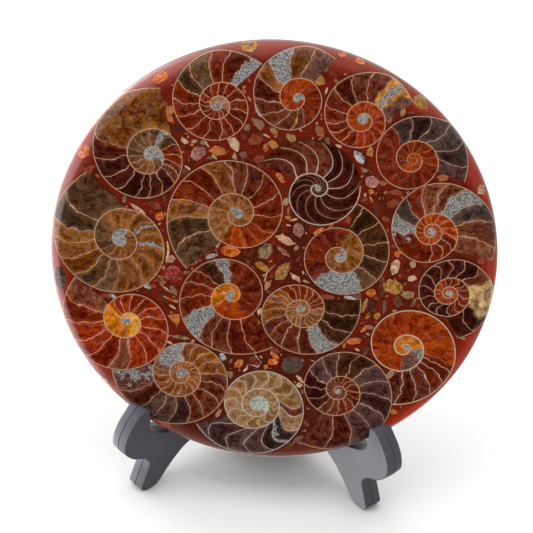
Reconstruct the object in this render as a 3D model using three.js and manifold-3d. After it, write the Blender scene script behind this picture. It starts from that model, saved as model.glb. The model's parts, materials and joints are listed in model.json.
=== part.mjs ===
// A round polished plate of ammonites set in red resin, standing on a small folding plastic stand.
// Millimetres, +Z up. The polished face looks towards -Y and leans back.

import * as THREE from 'three';
import { mergeVertices } from 'three/addons/utils/BufferGeometryUtils.js';
import Module from 'manifold-3d';

const wasm = await Module();
wasm.setup();

const DEGREES = Math.PI / 180;

// The plate: a disc with both rims rounded over, leaning back on the stand.
const PLATE_RADIUS = 75;
const PLATE_THICKNESS = 10;
const PLATE_EDGE_ROUND = 4.5;
const PLATE_LEAN = 14;
const PLATE_SEGMENTS = 96;
const EDGE_STEPS = 4;

// Where the centre of the polished face stands, in front of the hinge and above the table.
const FACE_FORWARD = 18.6;
const FACE_HEIGHT = 90.88;

// The hinge stands behind the middle of the whole outline, which is the origin.
const HINGE_BEHIND_ORIGIN = 18.3;

// Fossils and shell chips are let into the face, with a thin joint all round.
const FOSSIL_DEPTH = 5;
const CHIP_DEPTH = 2.5;
const JOINT = 0.3;
const ABOVE_FACE = 1;
const OUTLINE_STEP = 12;
const QUARTER_TURN = 90;

// The stand: two flat legs that meet at an upright hinge, open like a book.
const LEG_THICKNESS = 7;
const LEG_HALF_ANGLE = 45;
const LEG_FACE_OFFSET = 0.25;
const LEG_BACK_EDGE = 5.2;
const ARM_TOP = 97;
const BARREL_RADIUS = 4.5;
const BORE_RADIUS = 1.8;
const PIN_RADIUS = 1.7;
const PIN_CLEARANCE = 0.1;
const PIN_HEAD_RADIUS = 3.2;
const PIN_HEAD_HEIGHT = 1.5;
const WEB_THICKNESS = 4;
const BARREL_SIDES = 32;
const LEFT_KNUCKLES = [[8, 26.2], [50, 68]];
const RIGHT_KNUCKLES = [[26.6, 49.6]];

// Each ammonite is a flat spiral cut through its middle, seen from the front of the plate.
// centre: its middle on the face. mouth: the bearing of its open end, in degrees anticlockwise from +X.
// grows: 1 where the shell winds outwards anticlockwise, -1 where it winds clockwise.
// lip: how many degrees further on the mouth ends at the inner whorl.
// radii: from the middle to the outer wall at the mouth and at each quarter turn back from it.
const AMMONITES = [
  {
    name: 'ammonite_01', centre: [-42.2, 34.2], mouth: 86, grows: -1, lip: 36,
    radii: [23.2, 19.6, 15.8, 10.4, 8.9],
  },
  {
    name: 'ammonite_03', centre: [4.3, 57.3], mouth: 53, grows: -1, lip: 0,
    radii: [18.0, 16.0, 12.6, 8.4, 7.3],
  },
  {
    name: 'ammonite_02', centre: [-21.8, 52.9], mouth: 48, grows: -1, lip: 0,
    radii: [20.5, 16.1, 13.3, 11.3, 9.0],
  },
  {
    name: 'ammonite_04', centre: [26.0, 52.1], mouth: 26, grows: -1, lip: 25,
    radii: [17.0, 15.5, 12.0, 9.0, 6.5],
  },
  {
    name: 'ammonite_05', centre: [43.2, 39.7], mouth: -19, grows: -1, lip: 5,
    radii: [18.6, 16.0, 12.8, 10.8, 8.5],
  },
  {
    name: 'ammonite_06', centre: [13.0, 27.0], mouth: 161, grows: 1, lip: 0,
    radii: [20.5, 15.4, 13.8, 12.3, 8.0],
  },
  {
    name: 'ammonite_07', centre: [-12.7, 15.6], mouth: 233, grows: 1, lip: 10,
    radii: [26.3, 21.3, 17.1, 13.4, 10.9],
  },
  {
    name: 'ammonite_08', centre: [-50.8, 3.3], mouth: 119, grows: -1, lip: 33,
    radii: [26.2, 21.6, 18.2, 13.0, 10.4],
  },
  {
    name: 'ammonite_09', centre: [-47.6, -26.0], mouth: 140, grows: -1, lip: 0,
    radii: [23.3, 20.3, 16.5, 11.4, 8.4],
  },
  {
    name: 'ammonite_10', centre: [-28.0, -44.3], mouth: 165, grows: -1, lip: 0,
    radii: [25.0, 20.0, 16.7, 12.4, 10.0],
  },
  {
    name: 'ammonite_12', centre: [25.8, -45.6], mouth: 241, grows: -1, lip: 0,
    radii: [24.2, 20.0, 15.9, 12.7, 10.1],
  },
  {
    name: 'ammonite_11', centre: [-1.0, -53.3], mouth: 205, grows: -1, lip: 0,
    radii: [23.0, 18.4, 14.9, 12.3, 11.5],
  },
  {
    name: 'ammonite_13', centre: [47.3, -27.2], mouth: 255, grows: -1, lip: 0,
    radii: [22.8, 17.6, 14.2, 12.5, 9.5],
  },
  {
    name: 'ammonite_14', centre: [59.5, -6.2], mouth: 288, grows: -1, lip: 20,
    radii: [17.0, 15.0, 11.9, 9.9, 8.2],
  },
  {
    name: 'ammonite_15', centre: [51.3, 15.3], mouth: 338, grows: -1, lip: 15,
    radii: [23.1, 18.6, 13.7, 11.8, 9.5],
  },
  {
    name: 'ammonite_16', centre: [22.0, 3.6], mouth: 78, grows: 1, lip: 0,
    radii: [20.0, 16.0, 13.2, 11.5, 10.2],
  },
  {
    name: 'ammonite_17', centre: [-12.8, -13.3], mouth: 310, grows: 1, lip: 10,
    radii: [23.8, 19.6, 14.4, 11.3, 9.7],
  },
  {
    name: 'ammonite_18', centre: [11.2, -16.4], mouth: 15, grows: 1, lip: 17,
    radii: [20.2, 17.2, 14.1, 9.2, 7.5],
  },
];

// Loose chips of shell and stone between the ammonites: middle on the face, length, width and bearing.
// corners: 4 is a pointed shard, 6 or more a rounded grain.
const CHIPS = [
  { name: 'chip_red_pebble', at: [-32.7, -7.6], size: [6.6, 6.2], turn: 0, corners: 10 },
  { name: 'chip_dark_pebble', at: [9.7, -37.3], size: [7.4, 6.6], turn: 20, corners: 10 },
  { name: 'chip_amber_block', at: [-14.2, 2.4], size: [7.2, 4.2], turn: -6, corners: 6 },
  { name: 'chip_green_block', at: [-2.6, 3.4], size: [6.4, 4.6], turn: 55, corners: 6 },
  { name: 'chip_brown_grain', at: [-8.2, 2.6], size: [3.8, 3.0], turn: 20, corners: 6 },
  { name: 'chip_pink_wedge', at: [7.8, 12.0], size: [5.4, 3.8], turn: 100, corners: 6 },
  { name: 'chip_curved_shell', at: [3.6, 8.0], size: [6.6, 3.0], turn: -24, corners: 6 },
  { name: 'chip_pink_shard', at: [3.4, 3.9], size: [6.6, 2.0], turn: -34, corners: 4 },
  { name: 'chip_gold_shard', at: [-3.4, -2.2], size: [5.6, 2.8], turn: -28, corners: 6 },
  { name: 'chip_tan_blade', at: [3.6, -3.4], size: [7.6, 4.4], turn: 62, corners: 6 },
  { name: 'chip_cream_wedge', at: [8.2, -5.2], size: [4.8, 1.9], turn: -36, corners: 4 },
  { name: 'chip_orange_nib', at: [41.2, 6.4], size: [2.6, 2.4], turn: 70, corners: 6 },
  { name: 'chip_tan_tooth', at: [40.9, 1.9], size: [6.2, 3.2], turn: 80, corners: 6 },
  { name: 'chip_brown_flake', at: [40.8, -5.6], size: [7.6, 5.4], turn: -20, corners: 6 },
  { name: 'chip_orange_pebble', at: [33.8, -8.4], size: [3.4, 3.0], turn: 10, corners: 8 },
  { name: 'chip_gold_tooth', at: [33.4, -16.8], size: [3.4, 1.8], turn: 70, corners: 4 },
  { name: 'chip_orange_flake', at: [29.6, -26.6], size: [5.6, 2.4], turn: 12, corners: 6 },
  { name: 'chip_tan_strip', at: [-29.0, -30.6], size: [6.8, 1.5], turn: -4, corners: 6 },
  { name: 'chip_amber_flake', at: [2.8, -36.9], size: [3.8, 2.6], turn: 10, corners: 6 },
  { name: 'chip_brown_scroll', at: [-3.4, -37.2], size: [4.8, 3.0], turn: -30, corners: 6 },
  { name: 'chip_orange_spall', at: [-8.6, -38.6], size: [4.2, 2.6], turn: 50, corners: 6 },
  { name: 'chip_silver_grain', at: [-14.2, -36.6], size: [3.2, 2.2], turn: -50, corners: 6 },
  { name: 'chip_shell_ring', at: [30.4, 31.0], size: [4.4, 4.2], turn: 0, corners: 12 },
  { name: 'chip_orange_bead', at: [30.4, 27.6], size: [2.2, 1.8], turn: 0, corners: 8 },
  { name: 'chip_grey_wedge', at: [25.6, 39.2], size: [5.2, 3.0], turn: -50, corners: 6 },
  { name: 'chip_rose_block', at: [-27.0, 36.0], size: [6.4, 4.6], turn: 50, corners: 6 },
  { name: 'chip_pale_blade', at: [-45.6, 14.6], size: [6.2, 1.4], turn: -33, corners: 6 },
  { name: 'chip_orange_patch', at: [-38.4, 12.6], size: [3.4, 2.8], turn: 60, corners: 6 },
  { name: 'chip_slate_edge', at: [-70.6, -12.8], size: [8.4, 3.8], turn: 97, corners: 8 },
  { name: 'chip_amber_edge', at: [-64.4, 33.2], size: [5.6, 3.6], turn: 62, corners: 8 },
  { name: 'chip_orange_edge', at: [-40.6, 60.4], size: [6.0, 3.0], turn: 32, corners: 6 },
  { name: 'chip_gold_edge', at: [-12.8, 73.0], size: [5.6, 3.4], turn: 8, corners: 6 },
  { name: 'chip_honey_edge', at: [43.6, 59.2], size: [6.0, 3.6], turn: -36, corners: 6 },
  { name: 'chip_pale_edge', at: [66.2, 31.2], size: [5.0, 2.8], turn: 120, corners: 4 },
];

const COLOURS = {
  resin: 0x8c2417,
  fossil: 0x8a4a1e,
  chip: 0xc98a52,
  plastic: 0x3c3d45,
  pin: 0x2c2d33,
};

function makeMaterial(colour, roughness) {
  return new THREE.MeshStandardMaterial({ color: colour, roughness, metalness: 0 });
}

function toSolid(geometry) {
  const bare = geometry.clone();
  bare.deleteAttribute('normal');
  bare.deleteAttribute('uv');
  const merged = mergeVertices(bare, 1e-4);
  return new wasm.Manifold(new wasm.Mesh({
    numProp: 3,
    vertProperties: new Float32Array(merged.attributes.position.array),
    triVerts: new Uint32Array(merged.index.array),
  }));
}

function toGeometry(solid) {
  const mesh = solid.getMesh();
  const geometry = new THREE.BufferGeometry();
  geometry.setAttribute('position', new THREE.BufferAttribute(new Float32Array(mesh.vertProperties), 3));
  geometry.setIndex(new THREE.BufferAttribute(new Uint32Array(mesh.triVerts), 1));
  geometry.computeVertexNormals();
  return geometry;
}

function prism(outline, depth) {
  const shape = new THREE.Shape(outline);
  const geometry = new THREE.ExtrudeGeometry(shape, { depth: depth + ABOVE_FACE, bevelEnabled: false });
  return toSolid(geometry.translate(0, 0, -depth));
}

// ---- Plate ----

function plateDisc() {
  const flatRadius = PLATE_RADIUS - PLATE_EDGE_ROUND;
  const profile = [new THREE.Vector2(0, -PLATE_THICKNESS)];
  for (let step = 0; step <= EDGE_STEPS; step += 1) {
    const angle = (step / EDGE_STEPS) * 90 * DEGREES;
    const x = flatRadius + PLATE_EDGE_ROUND * Math.sin(angle);
    const y = -PLATE_THICKNESS + PLATE_EDGE_ROUND * (1 - Math.cos(angle));
    profile.push(new THREE.Vector2(x, y));
  }
  for (let step = 0; step <= EDGE_STEPS; step += 1) {
    const angle = (step / EDGE_STEPS) * 90 * DEGREES;
    const x = flatRadius + PLATE_EDGE_ROUND * Math.cos(angle);
    const y = -PLATE_EDGE_ROUND * (1 - Math.sin(angle));
    profile.push(new THREE.Vector2(x, y));
  }
  profile.push(new THREE.Vector2(0, 0));
  const geometry = new THREE.LatheGeometry(profile, PLATE_SEGMENTS);
  return toSolid(geometry.rotateX(90 * DEGREES));
}

// The radius at a number of quarter turns back from the mouth: a smooth curve through the listed radii.
function spiralRadius(radii, quarters) {
  const last = radii.length - 1;
  const logRadius = (index) => {
    if (index < 0) return 2 * Math.log(radii[0]) - Math.log(radii[1]);
    if (index > last) return Math.log(radii[last]) + Math.log(radii[index - last]) - Math.log(radii[0]);
    return Math.log(radii[index]);
  };
  const start = Math.floor(quarters);
  const t = quarters - start;
  const [before, from, to, after] = [start - 1, start, start + 1, start + 2].map(logRadius);
  const linear = to - before;
  const square = 2 * before - 5 * from + 4 * to - after;
  const cube = 3 * (from - to) + after - before;
  return Math.exp(from + 0.5 * t * (linear + t * (square + t * cube)));
}

// One whole turn of the outer wall, closed straight across the mouth.
function ammoniteOutline({ centre, mouth, grows, lip, radii }) {
  const sweep = 360 - lip;
  const steps = Math.round(sweep / OUTLINE_STEP);
  const points = [];
  for (let step = 0; step <= steps; step += 1) {
    const back = (sweep * step) / steps;
    const bearing = (mouth - grows * back) * DEGREES;
    const radius = spiralRadius(radii, back / QUARTER_TURN);
    points.push(new THREE.Vector2(
      centre[0] + radius * Math.cos(bearing),
      centre[1] + radius * Math.sin(bearing),
    ));
  }
  return points;
}

function chipOutline({ at, size, turn, corners }) {
  const centre = new THREE.Vector2(...at);
  const points = [];
  for (let corner = 0; corner < corners; corner += 1) {
    const angle = (corner / corners) * 360 * DEGREES;
    const point = new THREE.Vector2((Math.cos(angle) * size[0]) / 2, (Math.sin(angle) * size[1]) / 2);
    points.push(point.rotateAround(new THREE.Vector2(), turn * DEGREES).add(centre));
  }
  return points;
}

// The same outline moved outwards all round, with mitred corners.
function grown(outline, distance) {
  const side = THREE.ShapeUtils.isClockWise(outline) ? -1 : 1;
  const count = outline.length;
  return outline.map((point, index) => {
    const before = point.clone().sub(outline[(index + count - 1) % count]).normalize();
    const after = outline[(index + 1) % count].clone().sub(point).normalize();
    const outBefore = new THREE.Vector2(before.y, -before.x).multiplyScalar(side);
    const outAfter = new THREE.Vector2(after.y, -after.x).multiplyScalar(side);
    const mitre = outBefore.clone().add(outAfter).normalize();
    const stretch = Math.max(mitre.dot(outAfter), 0.5);
    return point.clone().addScaledVector(mitre, distance / stretch);
  });
}

function makePlate() {
  const plate = new THREE.Group();
  const disc = plateDisc();
  const fossilMaterial = makeMaterial(COLOURS.fossil, 0.25);
  const chipMaterial = makeMaterial(COLOURS.chip, 0.3);
  let resin = disc;
  const laid = [];
  const inlays = [
    ...AMMONITES.map((ammonite) => ({
      name: ammonite.name,
      outline: ammoniteOutline(ammonite),
      depth: FOSSIL_DEPTH,
      material: fossilMaterial,
    })),
    ...CHIPS.map((chip) => ({
      name: chip.name,
      outline: chipOutline(chip),
      depth: CHIP_DEPTH,
      material: chipMaterial,
    })),
  ];
  for (const inlay of inlays) {
    const pocket = prism(grown(inlay.outline, JOINT), inlay.depth + JOINT);
    let solid = prism(inlay.outline, inlay.depth).intersect(disc);
    for (const other of laid) {
      solid = solid.subtract(other);
    }
    laid.push(pocket);
    resin = resin.subtract(pocket);
    const mesh = new THREE.Mesh(toGeometry(solid), inlay.material);
    mesh.name = inlay.name;
    plate.add(mesh);
  }
  const body = new THREE.Mesh(toGeometry(resin), makeMaterial(COLOURS.resin, 0.2));
  body.name = 'resin_plate';
  plate.add(body);
  return plate;
}

// ---- Stand ----

// The side of a leg: along is the distance forward from the hinge, up is the height above the table.
function legOutline() {
  const armSlope = Math.tan(PLATE_LEAN * DEGREES) / Math.cos(LEG_HALF_ANGLE * DEGREES);
  const slotFront = new THREE.Vector2(54.8, 27);
  const slotBack = 35.5;
  const lipTop = 38.4;
  const cornerRise = 4.5;
  const cornerReach = 5;
  const slotFloor = slotFront.y - (slotFront.x - slotBack) * armSlope;
  const armTopAlong = slotBack - (ARM_TOP - slotFloor) * armSlope;
  const shape = new THREE.Shape();
  shape.moveTo(LEG_BACK_EDGE, 0);
  shape.lineTo(14, 0);
  shape.quadraticCurveTo(17.5, 13.5, 28.5, 14);
  shape.splineThru([
    new THREE.Vector2(35.6, 12.4),
    new THREE.Vector2(42, 7.5),
    new THREE.Vector2(47.4, 1.4),
    new THREE.Vector2(50.4, 0),
  ]);
  shape.lineTo(55.3, 0);
  shape.splineThru([
    new THREE.Vector2(56, 3),
    new THREE.Vector2(54.3, 6.3),
    new THREE.Vector2(52.2, 11.3),
    new THREE.Vector2(54.2, 14.2),
    new THREE.Vector2(59, 16.8),
    new THREE.Vector2(63.3, 21.5),
    new THREE.Vector2(63.3, 26.6),
    new THREE.Vector2(61.2, 31.5),
    new THREE.Vector2(58, 35.2),
    new THREE.Vector2(55.6, 38.2),
  ]);
  shape.lineTo(slotFront.x, lipTop);
  shape.lineTo(slotFront.x, slotFront.y + cornerRise);
  shape.quadraticCurveTo(slotFront.x, slotFront.y, slotFront.x - cornerReach, slotFront.y - cornerReach * armSlope);
  shape.lineTo(slotBack, slotFloor);
  shape.lineTo(armTopAlong, ARM_TOP);
  shape.quadraticCurveTo(armTopAlong - 0.8, ARM_TOP + 2, LEG_BACK_EDGE, ARM_TOP + 2);
  return shape;
}

function knuckle([floor, top], side) {
  const height = top - floor;
  const reach = LEG_BACK_EDGE + 1;
  const barrel = new THREE.CylinderGeometry(BARREL_RADIUS, BARREL_RADIUS, height, BARREL_SIDES);
  const web = new THREE.BoxGeometry(reach, height, WEB_THICKNESS);
  web.translate(reach / 2, 0, side * (LEG_FACE_OFFSET + WEB_THICKNESS / 2));
  return toSolid(barrel).add(toSolid(web)).translate([0, floor + height / 2, 0]);
}

// A leg is built flat, its side in XY and the hinge line up the Y axis.
// side: 1 puts the thickness towards +Z, -1 towards -Z, so that the two legs fold face to face.
function makeLeg(name, side, bearing, knuckles, material) {
  const flat = new THREE.ExtrudeGeometry(legOutline(), {
    depth: LEG_THICKNESS,
    bevelEnabled: false,
    curveSegments: 3,
  });
  flat.translate(0, 0, side > 0 ? LEG_FACE_OFFSET : -LEG_FACE_OFFSET - LEG_THICKNESS);
  const bore = new THREE.CylinderGeometry(BORE_RADIUS, BORE_RADIUS, 2 * ARM_TOP, BARREL_SIDES);
  let solid = toSolid(flat);
  for (const span of knuckles) {
    solid = solid.add(knuckle(span, side));
  }
  const mesh = new THREE.Mesh(toGeometry(solid.subtract(toSolid(bore))), material);
  mesh.name = name;
  mesh.rotation.set(90 * DEGREES, 0, bearing * DEGREES, 'ZYX');
  return mesh;
}

function makePin(pinFloor, pinTop) {
  const profile = [
    new THREE.Vector2(0, pinFloor),
    new THREE.Vector2(PIN_RADIUS, pinFloor),
    new THREE.Vector2(PIN_RADIUS, pinTop),
    new THREE.Vector2(PIN_HEAD_RADIUS, pinTop),
    new THREE.Vector2(PIN_HEAD_RADIUS, pinTop + PIN_HEAD_HEIGHT),
    new THREE.Vector2(0, pinTop + PIN_HEAD_HEIGHT),
  ];
  const geometry = new THREE.LatheGeometry(profile, BARREL_SIDES).rotateX(90 * DEGREES);
  const mesh = new THREE.Mesh(geometry, makeMaterial(COLOURS.pin, 0.5));
  mesh.name = 'hinge_pin';
  return mesh;
}

function makeStand() {
  const stand = new THREE.Group();
  const plastic = makeMaterial(COLOURS.plastic, 0.5);
  const straightForward = -90;
  stand.add(makeLeg('leg_left', 1, straightForward - LEG_HALF_ANGLE, LEFT_KNUCKLES, plastic));
  stand.add(makeLeg('leg_right', -1, straightForward + LEG_HALF_ANGLE, RIGHT_KNUCKLES, plastic));
  stand.add(makePin(LEFT_KNUCKLES[0][0], LEFT_KNUCKLES[1][1] + PIN_CLEARANCE));
  return stand;
}

const plate = makePlate();
plate.rotation.x = (90 - PLATE_LEAN) * DEGREES;
plate.position.set(0, -FACE_FORWARD, FACE_HEIGHT);

const group = new THREE.Group();
group.add(plate, makeStand());
group.position.y = HINGE_BEHIND_ORIGIN;

export default group;
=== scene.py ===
import json
import math
import random

import bmesh
import bpy
from mathutils import Matrix, Vector


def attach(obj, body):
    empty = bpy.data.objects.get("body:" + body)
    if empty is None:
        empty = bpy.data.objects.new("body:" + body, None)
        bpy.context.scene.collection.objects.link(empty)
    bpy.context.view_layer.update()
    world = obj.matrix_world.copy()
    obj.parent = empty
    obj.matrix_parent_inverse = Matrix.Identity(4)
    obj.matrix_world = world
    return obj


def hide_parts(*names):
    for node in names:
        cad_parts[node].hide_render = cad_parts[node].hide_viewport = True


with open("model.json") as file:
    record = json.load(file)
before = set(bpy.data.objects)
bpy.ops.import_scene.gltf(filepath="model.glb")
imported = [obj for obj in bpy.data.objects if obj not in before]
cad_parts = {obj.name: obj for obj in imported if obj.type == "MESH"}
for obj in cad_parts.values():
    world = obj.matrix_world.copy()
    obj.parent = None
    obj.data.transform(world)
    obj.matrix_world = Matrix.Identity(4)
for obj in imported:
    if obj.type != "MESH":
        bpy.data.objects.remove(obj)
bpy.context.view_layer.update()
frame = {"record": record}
MM = 0.001
PLATE_BODY = "plate_on_left_leg"

# ---- Resin plate ----
# A round slab cast from clear polyester resin dyed deep red, with the fossils laid in it. It is ground flat,
# both rims are rounded over, and it is buffed to a gloss, which leaves the face a shade lower than the harder
# stone set in it.
PLATE_RADIUS = 75
PLATE_THICKNESS = 10
EDGE_ROUND = 4.5
FLAT_RADIUS = PLATE_RADIUS - EDGE_ROUND
RESIN_BELOW_STONE = 0.05
# Light falls to 1/e in this many millimetres of the dyed resin: red, green, blue.
DYE_DEPTH = (10.0, 2.9, 1.9)
# The share of the surface that lets light in. The rest is the haze of the cast.
CLEAR_SHARE = 0.76
# Painted light, in millimetres: from where to where the rim is painted paler for the glow through its edge,
# and, across the face, where the painted glare on the left is full and where it is gone.
RIM_GLOW_FROM, RIM_GLOW_TO = 68.5, 76.5
GLARE_FULL_LEFT, GLARE_GONE_RIGHT = -30, 50

back_mount = next(m for m in frame["record"]["mounts"] if m["name"] == "plate_back")
face_normal = -Vector(back_mount["axis"]).normalized()
face_right = Vector((1, 0, 0))
face_up = face_normal.cross(face_right)
face_centre = Vector(back_mount["pos_m"]) + face_normal * PLATE_THICKNESS * MM
plate_turn = Matrix((face_right, face_up, face_normal)).transposed().to_4x4()
plate_place = Matrix.Translation(face_centre) @ plate_turn


def linear(hex_colour):
    """An sRGB hex colour as linear RGBA."""
    parts = [int(hex_colour[i:i + 2], 16) / 255 for i in (0, 2, 4)]
    return [c / 12.92 if c <= 0.04045 else ((c + 0.055) / 1.055) ** 2.4 for c in parts] + [1.0]


def add_node(tree, kind, *values, output=None, **named):
    """Adds a node and gives its first live output, or the one asked for. Values and other nodes' outputs go
    to its live sockets in order. A name with a capital is a socket, and one in small letters is a setting."""
    node = tree.nodes.new("ShaderNode" + kind)
    for key in filter(str.islower, named):
        setattr(node, key, named[key])
    sockets = list(zip([socket for socket in node.inputs if socket.enabled], values))
    sockets += [(node.inputs[key], value) for key, value in named.items() if not key.islower()]
    for socket, value in sockets:
        if isinstance(value, bpy.types.NodeSocket):
            tree.links.new(value, socket)
        else:
            socket.default_value = value
    return node.outputs[output] if output else next(socket for socket in node.outputs if socket.enabled)


def new_material(name, roughness, ior):
    """A material with its node tree and its shader's sockets, glossy as the surface is finished."""
    material = bpy.data.materials.new(name)
    material.use_nodes = True
    shader = material.node_tree.nodes["Principled BSDF"].inputs
    shader["Roughness"].default_value = roughness
    shader["IOR"].default_value = ior
    return material, material.node_tree, shader


def clear_selection():
    """Back to object mode with nothing selected."""
    if bpy.context.object and bpy.context.object.mode != "OBJECT":
        bpy.ops.object.mode_set(mode="OBJECT")
    bpy.ops.object.select_all(action="DESELECT")


def smooth(piece, degrees):
    """Shades a piece smooth, but for the edges that turn by more than an angle."""
    clear_selection()
    piece.select_set(True)
    bpy.context.view_layer.objects.active = piece
    bpy.ops.object.shade_smooth_by_angle(angle=math.radians(degrees))


def lay_on_plate(piece):
    """Moves a piece modelled flat, in millimetres about the middle of the face, to its place on the plate."""
    piece.data.transform(plate_place @ Matrix.Scale(MM, 4))
    piece.data.update()


resin_material, resin_tree, resin_shader = new_material("polyester_resin_dyed_and_polished", 0.03, 1.54)
resin_shader["Transmission Weight"].default_value = CLEAR_SHARE
# Painted light: the last few millimetres of the rim are painted paler, for the glow of light through the thin
# edge, and that painted rim is milky pink towards the left, for the glare of the window on it, and deep
# orange-red towards the right.
resin_spot = add_node(resin_tree, "TexCoord", output="Object")
resin_across = add_node(resin_tree, "SeparateXYZ", resin_spot)
to_right = add_node(resin_tree, "MapRange", resin_across, GLARE_FULL_LEFT * MM, GLARE_GONE_RIGHT * MM)
# Painted glare: the rim's painted colour runs from milky pink on the left to deep orange-red on the right.
rim_glow_colour = add_node(resin_tree, "Mix", to_right, linear("FFA498"), linear("F66A42"), data_type="RGBA")
from_middle = add_node(resin_tree, "VectorMath", resin_spot, face_centre, operation="DISTANCE")
# Painted glow: the resin's colour turns to the painted rim colour over the rim's last millimetres.
rim_glow_share = add_node(resin_tree, "MapRange", from_middle, RIM_GLOW_FROM * MM, RIM_GLOW_TO * MM)
resin_colour = add_node(resin_tree, "Mix", rim_glow_share, linear("983C24"), rim_glow_colour, data_type="RGBA")
resin_tree.links.new(resin_colour, resin_shader["Base Color"])
dye_density = 1 / (min(DYE_DEPTH) * MM)
dye_colour = [1 - min(DYE_DEPTH) / depth * 0.98 for depth in DYE_DEPTH]
dye = add_node(resin_tree, "VolumeAbsorption", (*dye_colour, 1), dye_density)
resin_tree.links.new(dye, resin_tree.nodes["Material Output"].inputs["Volume"])

clear_selection()
bpy.ops.mesh.primitive_cylinder_add(
    vertices=240, radius=PLATE_RADIUS - RESIN_BELOW_STONE, depth=PLATE_THICKNESS - 2 * RESIN_BELOW_STONE,
    location=(0, 0, -PLATE_THICKNESS / 2))
resin = bpy.context.object
resin.name = "resin_slab"
bpy.ops.object.transform_apply()
rims = resin.modifiers.new("rims", "BEVEL")
rims.width = EDGE_ROUND
rims.segments = 14
rims.limit_method = "ANGLE"
rims.angle_limit = math.radians(60)
rims.use_clamp_overlap = False
bpy.ops.object.modifier_apply(modifier="rims")
smooth(resin, 35)
resin.data.materials.append(resin_material)
lay_on_plate(resin)
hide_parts("resin_plate")
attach(resin, PLATE_BODY)

# ---- Ammonites ----
# Eighteen ammonites, each sawn through its middle, laid in the resin and polished flush with it. The shell
# wall and the septa are pale calcite, and the chambers hold amber, brown or black calcite, mudstone or grey
# crystals.
FOSSIL_DEPTH = 5
RESIN_LINE = 0.1
UNDERSIDE_INSET = 2
RIM_EDGE = 0.6
WELD = 0.002
STEP = 3.75
ACROSS_STEPS = 12
LONGEST_CHAMBER = 30
# Sizes of the patterns in the sawn calcite: the waves of the septa, the ragged ends of a filling, its
# blotches, and its grains of hue, dark and glint, then the grey crystals and those of the heart.
SEPTUM_WAVE, RAGGED_END, BLOTCH, HUE_GRAIN, SPECK, GLINT = 3.03, 2.38, 4.35, 1.613, 0.769, 2 / 3
GREY_GRAIN, HEART_GRAIN = 1 / 3, 0.588
# How far off its middle a line of shell, or the pale calcite beside it, starts to show and is full.
SEPTUM_LINE, WALL_LINE, SKIN_LINE, PALE_BAND = (0.21, 0.05), (0.22, 0.07), (0.2, 0.06), (1.9, 0.1)
# The depth of the outer wall's dark skin, and how far the shell and the skin hide what lies beneath.
SKIN, SHELL_COVER, SKIN_COVER = 0.24, 0.84, 0.75
# A filling gives way to the next over this share of a chamber on either side of the septum.
GIVE_WAY = 0.16
# What fills the chambers: the darkest and the lightest shade of each.
FILLINGS = {
    "black": ("241410", "544038"), "maroon": ("260C07", "50281E"), "coffee": ("301814", "644A42"),
    "umber": ("3A1208", "724230"), "rust": ("401406", "7E3A22"), "brick": ("581A04", "A04422"),
    "brown": ("4E220C", "98663E"), "amber": ("481806", "84391A"), "orange": ("641F04", "A84E1C"),
    "flame": ("783A0C", "D8882E"), "honey": ("A85C1E", "EABA66"), "gold": ("502A0E", "986840"),
    "olive": ("322012", "72543A"), "moss": ("22140A", "56341F"), "khaki": ("684C2C", "A8845C"),
    "taupe": ("4A2C20", "826054"), "rose": ("50261A", "926246"), "mud": ("281B14", "584A42"),
    "slate": ("504640", "8F837D"), "silver": ("5A5452", "A29E9A"), "tan": ("7E6040", "DEBE86"),
    "cream": ("5C2C1C", "AA8064"), "sage": ("747C6C", "B8C0AE"),
}
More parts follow.
